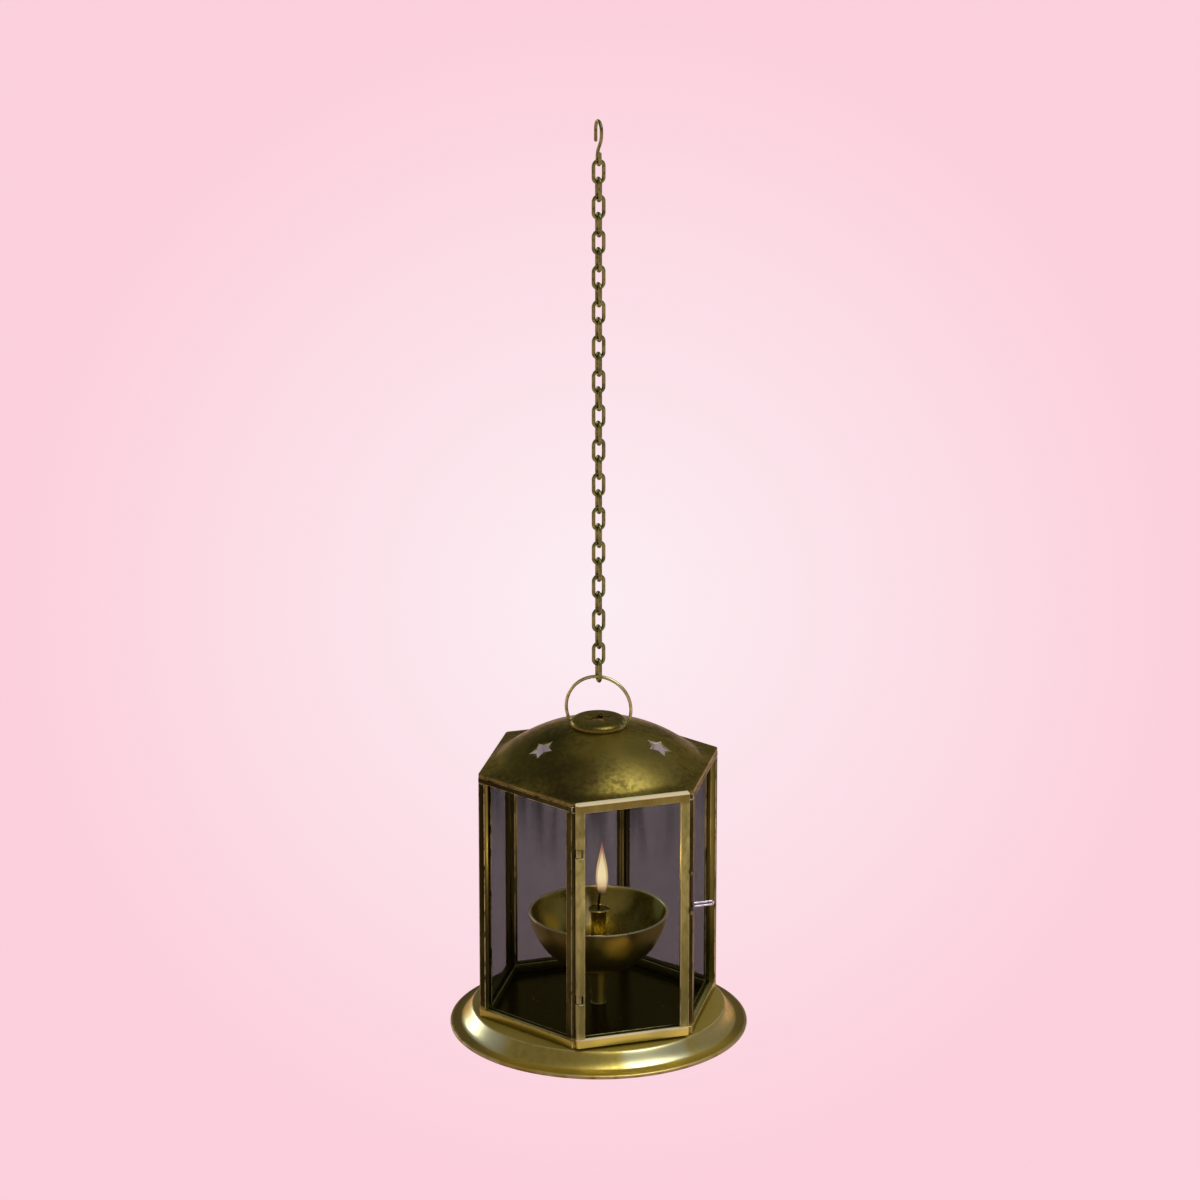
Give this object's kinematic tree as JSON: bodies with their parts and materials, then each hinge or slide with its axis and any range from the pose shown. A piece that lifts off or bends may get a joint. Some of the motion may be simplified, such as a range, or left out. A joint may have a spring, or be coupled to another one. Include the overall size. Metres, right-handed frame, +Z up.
{
  "type": "diya lantern",
  "caption": "Hanging six-sided glazed brass lantern with a domed star-pierced roof, hinged door, wire latch, footed oil-lamp bowl and a long link chain with hook.",
  "frame": {"origin": "top of the inside of the hook's upper eye, where the lantern hangs", "axes": "+Z up along the chain; the door faces -Y, and two corners of the hexagon lie on the X axis"},
  "size_m": [0.1792, 0.1792, 0.5596],
  "materials": {
    "antique_brass": "dark antique patina",
    "worn_brass": "worn, half bright",
    "steel": "bright drawn wire",
    "glass": "smoky clear glass",
    "wick": "charred cotton"
  },
  "bodies": {
    "hook": {"hanging_hook": "antique_brass"},
    "link_01": {"chain_link_01": "antique_brass"},
    "link_02": {"chain_link_02": "antique_brass"},
    "link_03": {"chain_link_03": "antique_brass"},
    "link_04": {"chain_link_04": "antique_brass"},
    "link_05": {"chain_link_05": "antique_brass"},
    "link_06": {"chain_link_06": "antique_brass"},
    "link_07": {"chain_link_07": "antique_brass"},
    "link_08": {"chain_link_08": "antique_brass"},
    "link_09": {"chain_link_09": "antique_brass"},
    "link_10": {"chain_link_10": "antique_brass"},
    "link_11": {"chain_link_11": "antique_brass"},
    "link_12": {"chain_link_12": "antique_brass"},
    "link_13": {"chain_link_13": "antique_brass"},
    "link_14": {"chain_link_14": "antique_brass"},
    "link_15": {"chain_link_15": "antique_brass"},
    "link_16": {"chain_link_16": "antique_brass"},
    "link_17": {"chain_link_17": "antique_brass"},
    "link_18": {"chain_link_18": "antique_brass"},
    "link_19": {"chain_link_19": "antique_brass"},
    "link_20": {"chain_link_20": "antique_brass"},
    "link_21": {"chain_link_21": "antique_brass"},
    "link_22": {"chain_link_22": "antique_brass"},
    "link_23": {"chain_link_23": "antique_brass"},
    "link_24": {"chain_link_24": "antique_brass"},
    "link_25": {"chain_link_25": "antique_brass"},
    "link_26": {"chain_link_26": "antique_brass"},
    "link_27": {"chain_link_27": "antique_brass"},
    "link_28": {"chain_link_28": "antique_brass"},
    "link_29": {"chain_link_29": "antique_brass"},
    "link_30": {"chain_link_30": "antique_brass"},
    "bail": {"bail": "worn_brass"},
    "lantern": {"roof": "antique_brass", "crown_cap": "antique_brass", "top_rail": "antique_brass", "bottom_rail": "antique_brass", "base_pan": "worn_brass", "hinge_pin": "steel", "hinge_eye_lower": "worn_brass", "hinge_eye_upper": "worn_brass", "latch_eye_upper": "worn_brass", "latch_eye_lower": "worn_brass", "lamp_bowl": "worn_brass", "wick_tube": "worn_brass", "lamp_screw": "steel", "post_right": "antique_brass", "post_back_right": "antique_brass", "post_back_left": "antique_brass", "post_left": "antique_brass", "post_front_left": "antique_brass", "post_front_right": "antique_brass", "pane_front_right": "glass", "pane_back_right": "glass", "pane_back": "glass", "pane_back_left": "glass", "pane_front_left": "glass"},
    "door": {"door_frame": "worn_brass", "door_pane": "glass"},
    "latch": {"latch": "steel"},
    "wick": {"wick": "wick"}
  },
  "joints": [
    {"name": "link_01_swing", "type": "hinge", "parent": "hook", "child": "link_01", "pos_m": [0, 0, -0.0249], "axis": [0, 1, 0], "range_deg": [-90, 90]},
    {"name": "link_02_swing", "type": "hinge", "parent": "link_01", "child": "link_02", "pos_m": [0, 0, -0.03548], "axis": [1, 0, 0], "range_deg": [-90, 90]},
    {"name": "link_03_swing", "type": "hinge", "parent": "link_02", "child": "link_03", "pos_m": [0, 0, -0.04596], "axis": [0, -1, 0], "range_deg": [-90, 90]},
    {"name": "link_04_swing", "type": "hinge", "parent": "link_03", "child": "link_04", "pos_m": [0, 0, -0.05644], "axis": [-1, 0, 0], "range_deg": [-90, 90]},
    {"name": "link_05_swing", "type": "hinge", "parent": "link_04", "child": "link_05", "pos_m": [0, 0, -0.06692], "axis": [0, 1, 0], "range_deg": [-90, 90]},
    {"name": "link_06_swing", "type": "hinge", "parent": "link_05", "child": "link_06", "pos_m": [0, 0, -0.0774], "axis": [1, 0, 0], "range_deg": [-90, 90]},
    {"name": "link_07_swing", "type": "hinge", "parent": "link_06", "child": "link_07", "pos_m": [0, 0, -0.08788], "axis": [0, -1, 0], "range_deg": [-90, 90]},
    {"name": "link_08_swing", "type": "hinge", "parent": "link_07", "child": "link_08", "pos_m": [0, 0, -0.09836], "axis": [-1, 0, 0], "range_deg": [-90, 90]},
    {"name": "link_09_swing", "type": "hinge", "parent": "link_08", "child": "link_09", "pos_m": [0, 0, -0.10884], "axis": [0, 1, 0], "range_deg": [-90, 90]},
    {"name": "link_10_swing", "type": "hinge", "parent": "link_09", "child": "link_10", "pos_m": [0, 0, -0.11932], "axis": [1, 0, 0], "range_deg": [-90, 90]},
    {"name": "link_11_swing", "type": "hinge", "parent": "link_10", "child": "link_11", "pos_m": [0, 0, -0.1298], "axis": [0, -1, 0], "range_deg": [-90, 90]},
    {"name": "link_12_swing", "type": "hinge", "parent": "link_11", "child": "link_12", "pos_m": [0, 0, -0.14028], "axis": [-1, 0, 0], "range_deg": [-90, 90]},
    {"name": "link_13_swing", "type": "hinge", "parent": "link_12", "child": "link_13", "pos_m": [0, 0, -0.15076], "axis": [0, 1, 0], "range_deg": [-90, 90]},
    {"name": "link_14_swing", "type": "hinge", "parent": "link_13", "child": "link_14", "pos_m": [0, 0, -0.16124], "axis": [1, 0, 0], "range_deg": [-90, 90]},
    {"name": "link_15_swing", "type": "hinge", "parent": "link_14", "child": "link_15", "pos_m": [0, 0, -0.17172], "axis": [0, -1, 0], "range_deg": [-90, 90]},
    {"name": "link_16_swing", "type": "hinge", "parent": "link_15", "child": "link_16", "pos_m": [0, 0, -0.1822], "axis": [-1, 0, 0], "range_deg": [-90, 90]},
    {"name": "link_17_swing", "type": "hinge", "parent": "link_16", "child": "link_17", "pos_m": [0, 0, -0.19268], "axis": [0, 1, 0], "range_deg": [-90, 90]},
    {"name": "link_18_swing", "type": "hinge", "parent": "link_17", "child": "link_18", "pos_m": [0, 0, -0.20316], "axis": [1, 0, 0], "range_deg": [-90, 90]},
    {"name": "link_19_swing", "type": "hinge", "parent": "link_18", "child": "link_19", "pos_m": [0, 0, -0.21364], "axis": [0, -1, 0], "range_deg": [-90, 90]},
    {"name": "link_20_swing", "type": "hinge", "parent": "link_19", "child": "link_20", "pos_m": [0, 0, -0.22412], "axis": [-1, 0, 0], "range_deg": [-90, 90]},
    {"name": "link_21_swing", "type": "hinge", "parent": "link_20", "child": "link_21", "pos_m": [0, 0, -0.2346], "axis": [0, 1, 0], "range_deg": [-90, 90]},
    {"name": "link_22_swing", "type": "hinge", "parent": "link_21", "child": "link_22", "pos_m": [0, 0, -0.24508], "axis": [1, 0, 0], "range_deg": [-90, 90]},
    {"name": "link_23_swing", "type": "hinge", "parent": "link_22", "child": "link_23", "pos_m": [0, 0, -0.25556], "axis": [0, -1, 0], "range_deg": [-90, 90]},
    {"name": "link_24_swing", "type": "hinge", "parent": "link_23", "child": "link_24", "pos_m": [0, 0, -0.26604], "axis": [-1, 0, 0], "range_deg": [-90, 90]},
    {"name": "link_25_swing", "type": "hinge", "parent": "link_24", "child": "link_25", "pos_m": [0, 0, -0.27652], "axis": [0, 1, 0], "range_deg": [-90, 90]},
    {"name": "link_26_swing", "type": "hinge", "parent": "link_25", "child": "link_26", "pos_m": [0, 0, -0.287], "axis": [1, 0, 0], "range_deg": [-90, 90]},
    {"name": "link_27_swing", "type": "hinge", "parent": "link_26", "child": "link_27", "pos_m": [0, 0, -0.29748], "axis": [0, -1, 0], "range_deg": [-90, 90]},
    {"name": "link_28_swing", "type": "hinge", "parent": "link_27", "child": "link_28", "pos_m": [0, 0, -0.30796], "axis": [-1, 0, 0], "range_deg": [-90, 90]},
    {"name": "link_29_swing", "type": "hinge", "parent": "link_28", "child": "link_29", "pos_m": [0, 0, -0.31844], "axis": [0, 1, 0], "range_deg": [-90, 90]},
    {"name": "link_30_swing", "type": "hinge", "parent": "link_29", "child": "link_30", "pos_m": [0, 0, -0.32892], "axis": [1, 0, 0], "range_deg": [-90, 90]},
    {"name": "bail_sway", "type": "hinge", "parent": "link_30", "child": "bail", "pos_m": [0, 0, -0.3394], "axis": [-0.5, -0.866, 0], "range_deg": [-60, 60]},
    {"name": "lantern_swing", "type": "hinge", "parent": "bail", "child": "lantern", "pos_m": [0, 0, -0.36485], "axis": [-0.866, 0.5, 0], "range_deg": [-80, 80]},
    {"name": "door_hinge", "type": "hinge", "parent": "lantern", "child": "door", "pos_m": [-0.034, -0.06755, -0.46747], "axis": [0, 0, -1], "range_deg": [0, 120]},
    {"name": "latch_turn", "type": "hinge", "parent": "lantern", "child": "latch", "pos_m": [0.035, -0.07075, -0.4597], "axis": [0, 0, -1], "range_deg": [0, 175]},
    {"name": "wick_raise", "type": "slide", "parent": "lantern", "child": "wick", "axis": [0, 0, 1], "range_m": [0, 0.01]}
  ]
}
